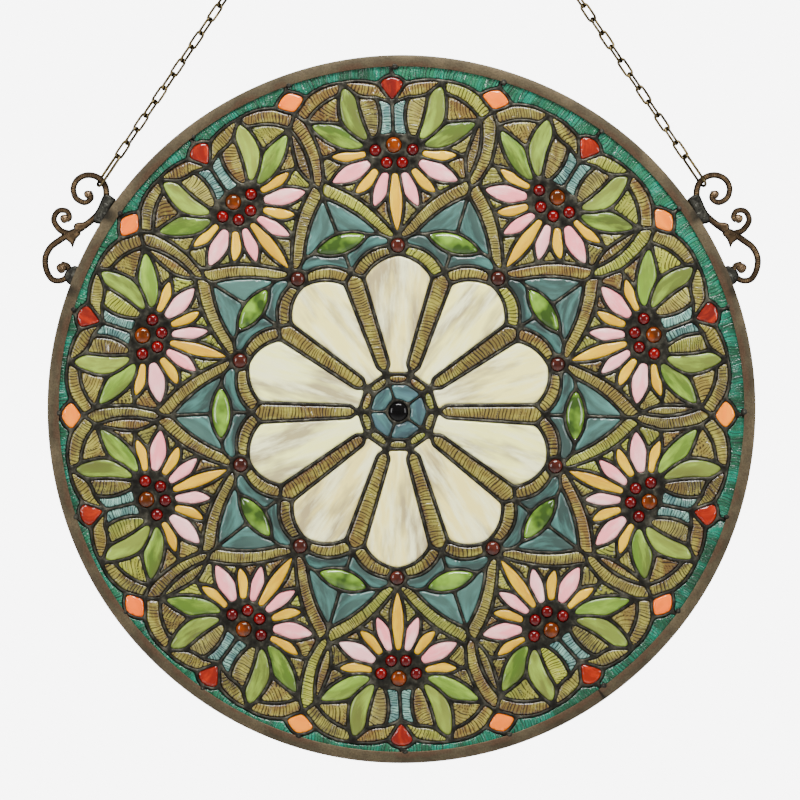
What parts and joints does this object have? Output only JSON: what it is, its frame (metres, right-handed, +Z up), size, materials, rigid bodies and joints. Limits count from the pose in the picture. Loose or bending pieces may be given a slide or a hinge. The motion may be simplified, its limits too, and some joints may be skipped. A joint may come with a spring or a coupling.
{
  "type": "stained glass window panel",
  "caption": "Round leaded stained glass panel with a flower rosette, a flower garland and a metal rim, hung from scroll hangers, chains and a ring.",
  "frame": {"origin": "middle of the hanging ring, which holds the part up", "axes": "+Z up, +X to the right of a person facing the panel's front, -Y out of the panel's front"},
  "size_m": [0.6202, 0.0109, 0.9006],
  "materials": {
    "solder": "dark patina",
    "cream_glass": "polished",
    "green_jewel": "cut and polished",
    "brown_jewel": "polished",
    "black_jewel": "polished",
    "aged_rim_metal": "aged",
    "antique_brass": "aged"
  },
  "bodies": {
    "root": {"leaded_field": "solder", "centre_jewel": "black_jewel", "petal_pane_01": "cream_glass", "long_jewel_01": "green_jewel", "rosette_jewel_01": "brown_jewel", "petal_pane_02": "cream_glass", "long_jewel_02": "green_jewel", "rosette_jewel_02": "brown_jewel", "petal_pane_03": "cream_glass", "long_jewel_03": "green_jewel", "rosette_jewel_03": "brown_jewel", "petal_pane_04": "cream_glass", "long_jewel_04": "green_jewel", "rosette_jewel_04": "brown_jewel", "petal_pane_05": "cream_glass", "long_jewel_05": "green_jewel", "rosette_jewel_05": "brown_jewel", "petal_pane_06": "cream_glass", "long_jewel_06": "green_jewel", "rosette_jewel_06": "brown_jewel", "petal_pane_07": "cream_glass", "long_jewel_07": "green_jewel", "rosette_jewel_07": "brown_jewel", "petal_pane_08": "cream_glass", "long_jewel_08": "green_jewel", "rosette_jewel_08": "brown_jewel", "petal_pane_09": "cream_glass", "long_jewel_09": "green_jewel", "rosette_jewel_09": "brown_jewel", "petal_pane_10": "cream_glass", "long_jewel_10": "green_jewel", "rosette_jewel_10": "brown_jewel", "rim_frame": "aged_rim_metal", "hanger_left": "aged_rim_metal", "hanger_right": "aged_rim_metal", "chain_left": "antique_brass", "chain_right": "antique_brass", "hanging_ring": "antique_brass"}
  },
  "joints": []
}
